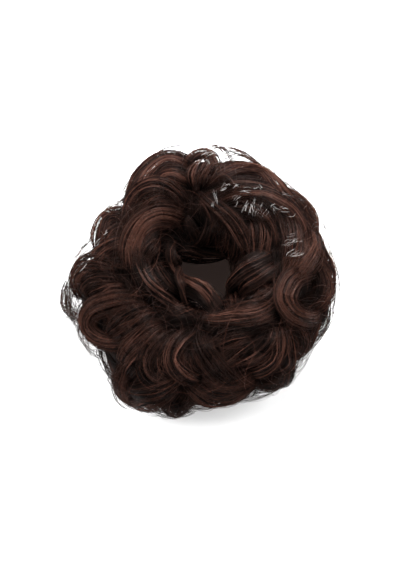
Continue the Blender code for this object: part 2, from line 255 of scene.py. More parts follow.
Lock = namedtuple("Lock", "name round over girth lift auburn")
LOCKS = (
    Lock("edge_back_left", (94, 102, 112, 122, 131, 140), (23, 21, 29, 32, 31, 49), 0.6, 0.35, 0.2),
    Lock("shoulder_back_left", (96, 105, 115, 127, 140), (58, 47, 48, 56, 62), 1.15, 0.1, 0.8),
    Lock("crown_back_left", (96, 104, 113, 122), (84, 74, 68, 67), 1.0, 0.1, 0.6),
    Lock("crown_arch", (104, 108, 115, 124, 134, 144, 152),
         (115, 97, 82, 70, 62, 68, 80), 1.0, 0.25, 0.4),
    Lock("crown_arch_core", (112, 117, 125, 135, 144), (112, 97, 90, 86, 93), 0.85, -0.1, 0.1),
    Lock("arch_left", (106, 118, 131, 144, 157, 170, 184),
         (131, 116, 105, 100, 99, 100, 105), 0.95, 0.35, 0.9),
    Lock("arch_left_core", (114, 126, 138, 152, 166, 180, 196),
         (140, 122, 111, 107, 108, 111, 114), 0.85, 0.1, 0.3),
    Lock("arch_inner", (129, 138, 150, 164, 180, 198, 216),
         (133, 121, 117, 118, 121, 125, 127), 0.85, 0.0, 0.0),
    Lock("tuft_inner", (184, 168, 155, 144), (123, 122, 125, 132), 0.8, 0.4, 0.0),
    Lock("shoulder_left", (144, 146, 152, 161, 169), (71, 48, 39, 41, 43), 0.95, 0.4, 0.5),
    Lock("shoulder_left_core", (153, 155, 162, 170, 176), (92, 74, 67, 64, 59), 0.95, -0.05, 0.3),
    Lock("shoulder_left_fill", (147, 153, 161, 170), (60, 53, 52, 51), 0.9, -0.1, 0.3),
    Lock("fan_left", (162, 164, 170, 176, 177), (100, 83, 69, 60, 48), 0.85, 0.05, 0.3),
    Lock("fan_left_low", (175, 176, 180, 182), (102, 88, 76, 65), 0.85, -0.2, 0.0),
    Lock("lobe_left_upper", (183, 180, 179, 182, 186, 192), (91, 73, 53, 37, 27, 27), 1.05, 0.2, 0.4),
    Lock("lobe_left_middle", (191, 188, 188, 190, 192), (96, 80, 62, 45, 34), 1.0, 0.1, 0.2),
    Lock("lobe_left_lower", (202, 198, 198, 197), (96, 80, 62, 46), 1.0, 0.0, 0.3),
    Lock("hook_outer", (215, 207, 204, 203, 207, 214, 222, 228),
         (117, 93, 70, 48, 31, 30, 42, 62), 1.0, 0.3, 0.7),
    Lock("hook_middle", (223, 217, 216, 216, 215), (116, 96, 74, 55, 38), 0.95, 0.1, 0.3),
    Lock("hook_lower", (235, 228, 226, 224, 220), (115, 97, 77, 58, 40), 1.0, 0.1, 0.3),
    Lock("drape_front_left", (242, 236, 234, 232, 232), (105, 88, 72, 53, 31), 1.0, 0.1, 0.3),
    Lock("drape_front_low", (244, 240, 240, 238, 237), (94, 80, 64, 47, 27), 0.95, 0.0, 0.2),
    Lock("loop_front_left", (232, 233, 234, 237, 242, 249, 254, 258),
         (48, 30, 7, -10, -19, 15, 27, 39), 0.95, 0.1, 0.8),
    Lock("loop_front_core", (247, 244, 240), (52, 38, 22), 0.95, -0.5, 0.0),
    Lock("loop_front_band", (238, 245, 251, 256, 262), (3, 20, 34, 44, 48), 0.95, 0.15, 0.6),
    Lock("wave_front_left", (250, 243, 241, 242, 246, 252, 260),
         (109, 90, 76, 62, 52, 47, 44), 1.0, 0.2, 0.2),
    Lock("wave_front_inner", (256, 250, 248, 250, 254, 260), (106, 90, 76, 64, 55, 49), 0.95, 0.0, 0.1),
    Lock("wave_front", (267, 260, 255, 254, 258, 264, 270),
         (116, 99, 85, 72, 61, 49, 37), 0.95, 0.25, 0.3),
    Lock("wave_front_core", (266, 261, 262, 266, 271), (90, 80, 68, 56, 49), 0.85, -0.1, 0.1),
    Lock("fall_front", (269, 268, 272, 278, 284, 290), (114, 94, 76, 57, 39, 23), 0.95, 0.25, 0.3),
    Lock("fall_front_inner", (276, 276, 280, 286), (104, 86, 68, 52), 0.85, -0.1, 0.1),
    Lock("tail_front_left", (252, 256, 260, 264, 266), (22, 7, -3, 8, 23), 0.75, 0.15, 0.0),
    Lock("edge_front", (296, 289, 282, 274, 268, 262), (21, 16, 10, 13, 25, 40), 1.15, 0.2, 0.3),
    Lock("bowl_front", (298, 290, 282, 275, 268), (35, 29, 29, 36, 49), 1.0, 0.1, 0.5),
    Lock("bowl_front_core", (294, 286, 279, 273), (47, 45, 47, 59), 0.95, -0.4, 0.0),
    Lock("swirl_front", (310, 300, 290, 280, 272), (82, 89, 91, 86, 80), 0.95, 0.1, 0.3),
    Lock("drape_front_right", (314, 304, 293, 284, 278), (72, 74, 70, 64, 59), 0.95, 0.0, 0.1),
    Lock("fan_front_a", (319, 312, 305, 296, 289), (76, 68, 63, 60, 56), 0.95, 0.1, 0.1),
    Lock("fan_front_b", (320, 314, 308, 300, 292), (72, 59, 48, 42, 35), 1.05, 0.2, 0.7),
    Lock("fan_front_c", (323, 319, 314, 310, 303), (69, 51, 35, 23, 18), 1.0, 0.1, 0.4),
    Lock("fan_front_d", (326, 326, 324, 319, 313), (66, 45, 25, 18, 20), 1.0, 0.05, 0.2),
    Lock("edge_front_right", (341, 334, 328, 323, 316), (23, 21, 18, 15, 19), 0.8, 0.1, 0.2),
    Lock("tail_front_right", (314, 310, 307, 303), (20, 5, -12, 2), 0.75, 0.2, 0.0),
    Lock("edge_front_tip", (309, 302, 295), (11, 11, 14), 0.8, 0.1, 0.2),
    Lock("band_front_inner", (335, 322, 310, 297, 283, 266),
         (94, 98, 103, 112, 123, 142), 1.0, 0.4, 0.5),
    Lock("band_front_upper", (342, 328, 316, 304, 290), (108, 108, 113, 124, 140), 0.7, 0.2, 0.2),
    Lock("band_front_lower", (326, 316, 304, 294, 280), (78, 86, 95, 107, 118), 0.8, 0.15, 0.3),
    Lock("drape_inner_right", (15, 5, 355, 342, 326, 302), (102, 118, 129, 141, 158, 154), 0.95, 1.2, 0.3),
    Lock("drape_inner_middle", (4, 353, 342, 332, 322), (97, 110, 121, 134, 146), 0.85, 0.7, 0.3),
    Lock("drape_inner_low", (347, 334, 323, 316), (103, 103, 111, 134), 0.7, 0.2, 0.4),
    Lock("fall_inner_outer", (166, 182, 200, 219, 240, 260),
         (114, 119, 123, 130, 141, 150), 0.8, 0.3, 0.15),
    Lock("fall_inner_middle", (162, 180, 202, 226, 250, 272),
         (136, 143, 149, 156, 156, 150), 0.8, 0.45, 0.1),
    Lock("fall_inner_hole", (154, 168, 196, 232, 262), (164, 174, 172, 164, 158), 0.75, 0.3, 0.0),
    Lock("loop_hollow", (151, 125, 98, 83, 80, 84), (149, 165, 162, 144, 127, 113), 0.45, 0.4, 0.1),
    Lock("fall_back_a", (96, 86, 76, 80, 99), (104, 120, 140, 167, 199), 0.8, 0.0, 0.1),
    Lock("fall_back_b", (88, 74, 58, 54, 75), (114, 127, 143, 168, 199), 0.85, 0.0, 0.1),
    Lock("fall_back_c", (78, 59, 40, 28, 44), (121, 130, 141, 161, 195), 0.85, 0.0, 0.1),
    Lock("inner_sweep_right", (94, 81, 63, 44, 24, 8), (95, 112, 121, 127, 132, 142), 1.0, 0.2, 0.1),
    Lock("inner_fall_right", (50, 37, 24, 10, 358), (104, 108, 115, 124, 135), 1.0, 0.1, 0.2),
    Lock("sweep_back_right", (90, 80, 70, 60, 50, 40, 32), (88, 69, 48, 33, 41, 42, 46), 1.2, 0.3, 1.0),
    Lock("sweep_middle_right", (90, 78, 68, 56, 46, 36, 26, 17),
         (102, 92, 77, 64, 57, 56, 50, 42), 1.05, 0.0, 0.1),
    Lock("sweep_inner_right", (80, 69, 58, 48, 38, 28, 18, 10),
         (111, 96, 81, 70, 65, 61, 55, 56), 1.0, 0.2, 0.5),
    Lock("curl_back_right", (74, 62, 52, 40, 28, 16, 4), (116, 104, 96, 92, 92, 97, 104), 1.0, 0.25, 0.1),
    Lock("curl_back_core", (62, 51, 40, 28), (114, 107, 104, 105), 0.8, -0.3, 0.0),
    Lock("edge_back_right", (61, 50, 43, 35, 26, 18), (21, 35, 22, 21, 21, 19), 0.75, 0.1, 0.6),
    Lock("edge_right", (28, 20, 10, 2, 355, 347), (33, 27, 28, 23, 13, 19), 0.8, -0.05, 0.5),
    Lock("crest_right", (36, 27, 16, 5, 353), (68, 74, 78, 86, 93), 1.0, 0.2, 0.2),
    Lock("fall_right", (25, 15, 6, 354, 345), (65, 66, 73, 82, 85), 1.0, 0.1, 0.4),
    Lock("rise_right", (22, 14, 4, 356, 347), (35, 43, 61, 75, 84), 1.05, 0.2, 0.8),
    Lock("curl_right_outer", (0, 355, 348, 336, 330, 331, 336, 343),
         (46, 71, 83, 83, 69, 49, 29, 22), 1.0, 0.35, 0.7),
    Lock("curl_right_core", (351, 348, 342, 336, 337, 342), (52, 67, 75, 66, 49, 37), 0.85, -0.15, 0.2),
    Lock("rim_right", (6, 0, 352, 344, 338), (47, 39, 33, 33, 34), 0.95, 0.1, 0.4),
    Lock("parting_right", (22, 7, 352, 338, 328), (100, 102, 100, 94, 84), 0.55, -0.1, 0.0),
    Lock("crown_back", (94, 94, 91, 87), (92, 79, 64, 43), 0.95, 0.1, 0.6),
    Lock("loop_back", (100, 94, 88, 84, 80), (58, 44, 38, 50, 66), 0.65, 0.2, 0.6),
    Lock("crown_strands", (88, 84, 80), (84, 68, 58), 0.65, 0.1, 0.6),
    Lock("hole_left", (170, 190, 210), (128, 158, 190), 1.3, 0.0, 0.05),
    Lock("rim_left", (121, 144, 158, 169, 184), (160, 152, 160, 170, 178), 0.9, 0.8, 0.05),
    Lock("rim_back", (138, 130, 98, 60, 43), (170, 168, 178, 182, 184), 1.1, 0.8, 0.05),
    Lock("tuft_rim", (142, 180, 236, 276, 292, 294), (164, 162, 157, 151, 146, 142), 0.95, 2.0, 0.05),
    Lock("tuft_rim_low", (158, 190, 238, 270, 286, 291), (164, 162, 155, 149, 142, 138), 0.9, 1.4, 0.05),
    Lock("hole_front_a", (203, 223, 243), (118, 154, 190), 1.3, 0.0, 0.05),
    Lock("hole_front_b", (234, 255, 276), (118, 152, 188), 1.3, 0.1, 0.05),
    Lock("hole_front_c", (266, 286, 306), (118, 152, 186), 1.3, 0.1, 0.05),
    Lock("hole_front_d", (298, 316, 334), (118, 154, 190), 1.3, 0.0, 0.05),
    Lock("tuft_curl", (134, 168, 217, 237, 254), (164, 164, 144, 143, 150), 0.5, 1.6, 0.1),
)

UNDER_LOCKS = 20
HOLE_LOCKS = 10


def under_lock(number):
    """Locks that fan out from the band below and curl up the outer wall."""
    start = 360 * number / UNDER_LOCKS
    lean = 18 + 5 * (number % 3)
    top = 40 if number % 2 else 22
    turns = (start, start + lean * 0.4, start + lean, start + lean * 1.4)
    return Lock(f"under_{number}", turns, (-95, -58, -18, top), 1.35, 0.0, 0.2)


def hole_lock(number):
    """Locks that hang down the wall of the hole and lean the other way."""
    start = 360 * number / HOLE_LOCKS
    lean = 24 + 6 * (number % 3)
    turns = (start, start - lean * 0.5, start - lean)
    return Lock(f"hole_{number}", turns, (130, 162, 196), 1.15, 0.0, 0.0)


under_locks = [under_lock(number) for number in range(UNDER_LOCKS)]
hole_locks = [hole_lock(number) for number in range(HOLE_LOCKS)]


def lock_line(lock, share):
    """The middle of a lock at these shares of its length: points, outward directions and radii."""
    swell = np.sin(np.pi * np.clip(share, 0, 1)) ** 0.5
    thick = LOCK_RADIUS * lock.girth * (LOCK_TIP_SHARE + (1 - LOCK_TIP_SHARE) * swell)
    offset = lock.lift * LOCK_LIFT * np.sin(np.pi * np.clip(share, 0, 1))
    offset = offset - LOCK_SEAT_SHARE * thick - LOCK_TUCK * (1 - swell)
    points, outward = on_roll(through(unwrapped(lock.round), share), through(lock.over, share), offset)
    return points, outward, thick


print(len(LOCKS), "locks that show,", UNDER_LOCKS, "below and", HOLE_LOCKS, "in the hole")

# %% [markdown]
# ## The colour of the hair
# False hair is dyed fibre: nearly black brown, with some auburn fibres mixed in, and each fibre keeps one
# colour. So each strand carries three numbers: its tint, one that runs from root to tip, and a painted
# shade for how open it lies, which darkens and dulls the hair deep in the roll. The node group below turns
# them into a colour and a roughness. It is used by the strands and by the packed hair behind them.

# %% The colour of the hair
DARK_HAIR = (0.0010, 0.0007, 0.0006, 1)
BROWN_HAIR = (0.0150, 0.0076, 0.0060, 1)
AUBURN_HAIR = (0.072, 0.0310, 0.0220, 1)
WARM_SHINE = (1.0, 0.78, 0.72, 1)


def fibre_group():
    """Tint, Along and Depth (a painted shade) in; a colour and a roughness out, both changing along each
    strand.
    """
    group = bpy.data.node_groups.new("fibre_colour", "ShaderNodeTree")
    for name in ("Tint", "Along", "Depth"):
        group.interface.new_socket(name=name, in_out="INPUT", socket_type="NodeSocketFloat")
    group.interface.new_socket(name="Color", in_out="OUTPUT", socket_type="NodeSocketColor")
    group.interface.new_socket(name="Roughness", in_out="OUTPUT", socket_type="NodeSocketFloat")
    given = group.nodes.new("NodeGroupInput").outputs
    result = group.nodes.new("NodeGroupOutput")

    place = add_node(group, "TexCoord", {}).outputs["Object"]
    noise = add_node(group, "TexNoise", {"Vector": place, "Scale": 160, "Detail": 2}).outputs["Fac"]
    # The tint wanders a little along a strand, and picks the colour.
    drift = add_node(group, "Math", {0: noise, 1: 0.3, 2: given["Tint"]}, operation="MULTIPLY_ADD")
    ramp = add_node(group, "ValToRGB", {"Fac": drift.outputs[0]})
    stops = ramp.color_ramp.elements
    stops[0].position, stops[0].color = 0.12, DARK_HAIR
    stops[1].position, stops[1].color = 0.95, AUBURN_HAIR
    stops.new(0.5).color = BROWN_HAIR
    # The root half is a little darker, and Depth paints shade on all that lies deep.
    fade = add_node(group, "MapRange", {
        "Value": given["Along"], "From Min": 0.0, "From Max": 0.5, "To Min": 0.55, "To Max": 1.0,
    })
    shade = add_node(group, "Math", {0: fade.outputs["Result"], 1: given["Depth"]}, operation="MULTIPLY")
    darker = add_node(
        group, "VectorMath", {0: ramp.outputs["Color"], "Scale": shade.outputs[0]}, operation="SCALE"
    )
    # The deeper, the duller.
    dull = add_node(group, "MapRange", {"Value": given["Depth"], "To Min": 0.75, "To Max": 0.20})
    shine = add_node(
        group, "Math", {0: noise, 1: 0.15, 2: dull.outputs["Result"]}, operation="MULTIPLY_ADD"
    )
    join(group, result, {"Color": darker.outputs["Vector"], "Roughness": shine.outputs[0]})
    return group


fibre_colour = fibre_group()


def strand_material(name, shine):
    """Hair whose strands carry their own tint and a painted shade, as attributes on the mesh."""
    made, tree, shader = plain_material(name)
    group = add_node(tree, "Group", {}, node_tree=fibre_colour)
    for label in ("Tint", "Along", "Depth"):
        value = add_node(tree, "Attribute", {}, attribute_name=label.lower())
        join(tree, group, {label: value.outputs["Fac"]})
    join(tree, shader, {
        "Specular IOR Level": shine, "Specular Tint": WARM_SHINE,
        "Base Color": group.outputs["Color"], "Roughness": group.outputs["Roughness"],
    })
    return made


STRAND_SHINE = 0.05
lock_hair = strand_material("lock_hair", STRAND_SHINE)
stray_hair = strand_material("stray_hair", STRAND_SHINE)
print("materials:", lock_hair.name, stray_hair.name)

# %% [markdown]
# ## From lines to strands
# A strand is a tube with three sides that closes to a point at each end. Three sides are enough for
# something 0.2 mm thick, because the sides are shaded as if they were round. All the strands of a piece
# are built in one go from arrays: corner rings, then the faces that join them. Each strand also gets a
# cell of its own on the piece's UV map, so its colour can be baked on a picture.
#
# Light hardly reaches hair that lies deep, and far too many fibres would be needed to block it here. So
# the shade is painted: each point stores how open it lies, less the deeper it is in the roll and the lower
# it is, and less again in the hollows, which are places that look dark in the photograph.

# %% From lines to strands
SIDES = 3
CELL_MARGIN = 0.07  # round a strand in its cell on the map
STRIP_LENGTH = 28  # a strand's cell on the map is this many times as long as it is wide
# Painted shade: where the hair is painted darker, deep in the roll, low on a wall and in the hollows.
SHALLOW = 0.5 * MM  # below the roll's outside, where the hair starts to darken
DEEP = 6.5 * MM
OUTER_FADE = (0.45, 5 * MM, 20 * MM)  # light low on a wall, the height there, and the rise to full light
HOLE_FADE = (0.35, 18 * MM, 28 * MM)
HOLLOW_SINK = 1.5 * MM  # of a hollow's middle, below the roll's outside
HOLLOW_SHADE = 0.92  # how much of the light a hollow takes
HOLLOWS = (  # dark places between the locks: round, over, and their reach in mm
    (232, 113, 4.1), (244, 115, 4.9), (256, 116, 4.9), (266, 113, 4.1), (188, 100, 4.1), (198, 100, 4.1),
    (260, 96, 3.3), (260, 85, 3.3), (302, 79, 4.1), (306, 70, 3.3), (300, 147, 4.1), (308, 125, 4.1),
    (135, 138, 5.5), (135, 158, 6.0), (114, 149, 8.0), (98, 137, 7.0), (89, 128, 4.1), (165, 140, 3.3),
    (14, 98, 3.3), (4, 101, 3.3), (332, 89, 3.3), (324, 82, 3.3), (240, 35, 4.1), (246, 37, 4.1),
    (344, 67, 4.9), (346, 54, 4.1), (288, 53, 3.3), (217, 112, 2.5), (204, 153, 2.5),
    (44, 144, 3.3), (26, 110, 3.3), (45, 120, 2.5), (172, 79, 2.5), (197, 68, 3.3), (212, 54, 3.3),
    (230, 82, 3.3), (278, 79, 3.3), (288, 73, 2.5),
)


def tube_faces(stations):
    """The faces of one strand: vertex numbers, and the side and stations of each, for the map."""
    rings = stations - 2
    tip = 1 + rings * SIDES
    faces, cells = [], []
    for side in range(SIDES):
        after = (side + 1) % SIDES
        faces.append((0, 1 + after, 1 + side))
        cells.append(((side + 0.5, 0), (side + 1, 1), (side, 1)))
        for ring in range(rings - 1):
            low, high = 1 + ring * SIDES, 1 + (ring + 1) * SIDES
            faces.append((low + side, low + after, high + after, high + side))
            cells.append(((side, ring + 1), (side + 1, ring + 1), (side + 1, ring + 2), (side, ring + 2)))
        last = 1 + (rings - 1) * SIDES
        faces.append((last + side, last + after, tip))
        cells.append(((side, rings), (side + 1, rings), (side + 0.5, stations - 1)))
    return faces, cells


def unit(vectors):
    return vectors / (np.linalg.norm(vectors, axis=2, keepdims=True) + 1e-12)


def along_and_side(lines, outward):
    """Unit directions along these lines, and sideways, flat on the roll."""
    along = unit(np.gradient(lines, axis=1))
    return along, unit(np.cross(along, outward))


def taper(share, start=0.05, span=0.90):
    """The thickness of a hair along its length, thin at both ends."""
    return np.sin(np.pi * (start + span * share)) ** 0.4


def tube_corners(lines, outward, radii):
    """Vertex places for strands of equally many stations: (strands, vertices, 3)."""
    along, side = along_and_side(lines, outward)
    up = np.cross(side, along)
    rings = []
    for step in range(SIDES):
        angle = tau * step / SIDES + tau / 4
        rings.append(lines + radii[..., None] * (np.cos(angle) * side + np.sin(angle) * up))
    middle = np.stack(rings, 2)[:, 1:-1].reshape(len(lines), -1, 3)
    return np.concatenate([lines[:, :1], middle, lines[:, -1:]], 1)


class Strands:
    """Strands that will be one mesh."""

    def __init__(self):
        self.groups = []

    def add(self, lines, outward, radii, tint, painted_groove_light=1.0):
        lines[..., 2] = np.maximum(lines[..., 2], FLOOR_GAP + radii)
        painted_groove_light = np.broadcast_to(painted_groove_light, len(lines))
        self.groups.append((tube_corners(lines, outward, radii), lines.shape[1], tint, painted_groove_light))

    def count(self):
        return sum(len(group[0]) for group in self.groups)


def painted_light(points):
    """Painted shade: 1 on the outside of the roll, less the deeper a point lies in it, where little light
    comes.
    """
    x, y = points[:, 0] - hole_middle[0], points[:, 1] - hole_middle[1]
    out = np.hypot(x, y) - RING_RADIUS
    swell = outer_swell(np.degrees(np.arctan2(y, x))) * (out > 0)
    out = np.where(out > 0, out * ROLL_RADIUS / (ROLL_RADIUS + swell), out)
    below = ROLL_RADIUS - np.hypot(out, points[:, 2] - ROLL_HEIGHT)
    fades = (OUTER_FADE, HOLE_FADE)
    walls = [share + (1 - share) * (points[:, 2] - start) / rise for share, start, rise in fades]
    low = np.where(out > 0, *walls)
    result = np.clip(1 - (below - SHALLOW) / (DEEP - SHALLOW), 0.05, 1) * np.clip(low, 0.25, 1)
    sunk = np.clip((below + 2.5 * MM) / (3 * MM), 0, 1)
    for turn, over, reach in HOLLOWS:
        middle, _ = on_roll(turn, over, -HOLLOW_SINK)
        apart = np.linalg.norm(points - middle, axis=1) / (reach * MM)
        result = result * (1 - HOLLOW_SHADE * sunk * np.exp(-(apart**2)))
    return result


def hair_piece(name, strands, material):
    """Joins the strands into one mesh with its map, its tints, its material and its body."""
    total = strands.count()
    columns = ceil((total * STRIP_LENGTH) ** 0.5)
    rows = ceil(total / columns)
    places, loops, starts, maps = [], [], [], []
    tints, alongs, painted_light_shares = [], [], []
    vertices = corners = done = 0
    for group, stations, tint, painted_groove_light in strands.groups:
        faces, cells = tube_faces(stations)
        many, each = group.shape[:2]
        flat = np.array([number for face in faces for number in face])
        sizes = np.array([len(face) for face in faces])
        spots = np.array([spot for cell in cells for spot in cell], float)
        spots = spots / (SIDES, stations - 1) * (1 - 2 * CELL_MARGIN) + CELL_MARGIN
        cell = np.arange(done, done + many)
        origin = np.stack([cell % columns, cell // columns], 1)
        maps.append(((origin[:, None] + spots[None]) / (columns, rows)).reshape(-1, 2))
        loops.append((flat[None] + vertices + each * np.arange(many)[:, None]).ravel())
        first = np.concatenate([[0], np.cumsum(sizes)[:-1]])
        starts.append((first[None] + corners + len(flat) * np.arange(many)[:, None]).ravel())
        places.append(group.reshape(-1, 3))
        station = np.concatenate([[0], np.repeat(np.arange(1, stations - 1), SIDES), [stations - 1]])
        alongs.append(np.tile(station / (stations - 1), many))
        tints.append(np.repeat(tint, each))
        painted_light_shares.append(painted_light(group.reshape(-1, 3)) * np.repeat(painted_groove_light, each))
        vertices += many * each
        corners += many * len(flat)
        done += many
    mesh = bpy.data.meshes.new(name)
    mesh.vertices.add(vertices)
    mesh.vertices.foreach_set("co", np.concatenate(places).ravel())
    mesh.loops.add(corners)
    mesh.loops.foreach_set("vertex_index", np.concatenate(loops))
    starts = np.concatenate(starts)
    mesh.polygons.add(len(starts))
    mesh.polygons.foreach_set("loop_start", starts)
    mesh.update(calc_edges=True)
    mesh.validate()
    mesh.shade_smooth()
    layer = mesh.uv_layers.new(name="OFBake")
    layer.data.foreach_set("uv", np.concatenate(maps).ravel())
    # The depth attribute holds the painted shade: 1 where a point lies open, less where it lies deep.
    for label, values in (("tint", tints), ("along", alongs), ("depth", painted_light_shares)):
        mesh.attributes.new(label, "FLOAT", "POINT").data.foreach_set("value", np.concatenate(values))
    mesh.materials.append(material)
    piece = bpy.data.objects.new(name, mesh)
    scene.collection.objects.link(piece)
    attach(piece, "root")
    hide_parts("hair_curls")
    triangles = int((np.diff(np.append(starts, corners)) - 2).sum())
    print(name, total, "strands,", triangles, "triangles")
    return piece


# %% [markdown]
# ## How a lock is filled
# The hairs of a real lock aren't spread evenly. They stick together in clumps that run side by side, with
# dark grooves between them, and they come together at both ends. A few wander out of the lock. So a lock
# first gets some clumps, spread over the upper half of its section, and each strand then keeps close to
# its clump and shares its slow wave.

# %% How a lock is filled
STATION_STEP = 3.9 * MM  # along a strand
STRAND_RADIUS = 0.115 * MM
CLUMPS = 30  # in a lock of girth 1
CLUMP_SPREAD = 0.17 * MM
LOCK_WIDTH = 1.2  # of its thickness
FEWEST_STATIONS, MOST_STATIONS = 8, 22
# The painted groove shade, as a share of light across a lock:
GROOVE_LIGHT = 0.2  # half way down a lock's side, where its top has 1.2
LIGHT_LIMITS = (0.12, 1.1)
FREE_SHARE = 0.22  # of the strands belong to no clump
STRAY_SHARE = 0.06  # of them leave the lock at its side


def lock_length(lock):
    points, _, _ = lock_line(lock, np.linspace(0, 1, 40))
    return np.linalg.norm(np.diff(points, axis=0), axis=1).sum()


def fill_lock(strands, lock, many, chance, step=STATION_STEP):
    """Adds this many strands along a lock."""
    stations = int(np.clip(round(lock_length(lock) / step), FEWEST_STATIONS, MOST_STATIONS))
    clumps = max(8, round(CLUMPS * lock.girth))
    spot = (np.arange(clumps) + chance.uniform(0, 1, clumps)) / clumps
    clump_angle = np.pi * (1.24 * spot - 0.12)
    clump_depth = chance.uniform(0.70, 1.06, clumps)
    clump_tint = chance.normal(0, 0.25, clumps)
    clump_slip = chance.normal(0, 0.09, clumps)
    clump_start = chance.uniform(-0.03, 0.10, clumps)
    clump_end = chance.uniform(0.90, 1.05, clumps)
    weight = chance.uniform(0.3, 1.0, clumps) ** 2
    sway = chance.uniform(0, tau, 2)
    spread = CLUMP_SPREAD / (LOCK_RADIUS * lock.girth)

    clump = chance.choice(clumps, many, p=weight / weight.sum())
    across = np.cos(clump_angle[clump]) * clump_depth[clump] + chance.normal(0, spread, many)
    out = np.sin(clump_angle[clump]) * clump_depth[clump] + chance.normal(0, spread, many)
    free = chance.random(many) < FREE_SHARE
    angle = np.pi * chance.uniform(-0.12, 1.12, many)
    depth = chance.uniform(0.65, 1.12, many)
    across = np.where(free, np.cos(angle) * depth, across)
    out = np.where(free, np.sin(angle) * depth, out)
    stray = chance.random(many) < STRAY_SHARE
    across = np.where(stray, across * chance.uniform(1.1, 1.7, many), across)
    # Painted shade: a strand is coloured darker the further down the lock's side it lies.
    height = out  # the top of a lock catches the light, the grooves beside it don't
    start = clump_start[clump] + chance.uniform(-0.02, 0.02, many)
    end = clump_end[clump] + chance.uniform(-0.03, 0.03, many)
    share = start[:, None] + (end - start)[:, None] * np.linspace(0, 1, stations)
    middle, outward, thick = lock_line(lock, share)
    _, side = along_and_side(middle, outward)

    neighbour = across[:, None] * 1.5  # strands side by side sway nearly together
    own = chance.uniform(0, tau, many)[:, None]
    across = across[:, None] + 0.10 * np.sin(tau * share * 1.1 + sway[0] + neighbour)
    across = across + clump_slip[clump][:, None] * np.sin(np.pi * share * 2)
    across = across + chance.uniform(0, 0.07, many)[:, None] * np.sin(tau * share * 1.6 + own)
    out = out[:, None] + 0.06 * np.cos(tau * share * 1.3 + sway[1] + neighbour)
    lines = middle + side * (across * thick * LOCK_WIDTH)[..., None] + outward * (out * thick)[..., None]

    width = chance.uniform(0.7, 1.25, many) * STRAND_RADIUS
    radii = width[:, None] * taper(np.linspace(0, 1, stations), start=0.06)[None]
    red = chance.random(many) < 0.08 + 0.45 * lock.auburn
    tint = 0.12 + 0.26 * lock.auburn + clump_tint[clump] + chance.normal(0, 0.13, many)
    tint = np.clip(np.where(red, tint + chance.uniform(0.15, 0.5, many), tint), 0, 1)
    strands.add(lines, outward, radii, tint, np.clip(GROOVE_LIGHT + height, *LIGHT_LIMITS))


# %% [markdown]
# ## The packed hair
# Behind the locks that show, the real ring is packed with more hair, too deep to see strand by strand. A
# plain ring stands in for it, a little inside the locks, with a core in each lock, so that what shows
# between two strands is more hair and never the table. Both are dark: hair painted with deep shade.

# %% The packed hair
PACKED_RADIUS = 20.0 * MM
PACKED_BELLY = 25.0 * MM


def packed_material():
    """Hair painted nearly black with deep shade, whose streaks follow the piece's own map."""
    made, tree, shader = plain_material("packed_hair")
    place = add_node(tree, "UVMap", {}, uv_map="OFBake").outputs["UV"]
    stretch = add_node(tree, "Mapping", {"Vector": place, "Scale": (900, 14, 1)}).outputs["Vector"]
    streaks = add_node(tree, "TexNoise", {"Vector": stretch, "Scale": 1.0, "Detail": 3}).outputs["Fac"]
    # A Depth of 0.15 is the painted deep shade.
    group = add_node(tree, "Group", {"Tint": streaks, "Along": 1.0, "Depth": 0.15}, node_tree=fibre_colour)
    bump = add_node(tree, "Bump", {"Strength": 0.8, "Distance": 0.0006, "Height": streaks})
    join(tree, shader, {
        "Specular IOR Level": 0.03, "Base Color": group.outputs["Color"],
        "Roughness": group.outputs["Roughness"], "Normal": bump.outputs["Normal"],
    })
    return made


packed = packed_material()
bpy.ops.object.select_all(action="DESELECT")
bpy.ops.mesh.primitive_torus_add(
    location=(hole_middle[0], hole_middle[1], ROLL_HEIGHT), major_segments=96, minor_segments=32,
    major_radius=RING_RADIUS, minor_radius=PACKED_RADIUS,
)
ring = bpy.context.object
ring.name = "packed_ring"
bpy.ops.object.transform_apply(location=True, rotation=True, scale=True)
shape = bmesh.new()
shape.from_mesh(ring.data)
for vertex in shape.verts:
    x, y = vertex.co.x - hole_middle[0], vertex.co.y - hole_middle[1]
    reach = np.hypot(x, y)
    share = max(reach - RING_RADIUS, 0) / PACKED_RADIUS
    grown = 1 + float(outer_swell(np.degrees(np.arctan2(y, x)))) * share**0.7 / reach
    vertex.co.x, vertex.co.y = hole_middle[0] + x * grown, hole_middle[1] + y * grown
    if vertex.co.z < ROLL_HEIGHT:
        vertex.co.z = ROLL_HEIGHT + (vertex.co.z - ROLL_HEIGHT) / PACKED_RADIUS * PACKED_BELLY
    vertex.co.z = max(vertex.co.z, FLOOR_GAP)
shape.to_mesh(ring.data)
shape.free()
ring.data.uv_layers[0].name = "OFBake"
ring.data.shade_smooth()
ring.data.materials.append(packed)
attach(ring, "root")
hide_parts("hair_curls")
print("packed ring:", len(ring.data.polygons), "faces")

# %% [markdown]
# Each lock's core is a curve with a round bevel, turned into a mesh and joined with the others. It is
# thinner than the lock, so the strands lie outside it.

# %% The cores of the locks
CORE_SHARE = 0.62
CORE_STATIONS = 14
CORE_SINK = 0.12  # of the lock's thickness

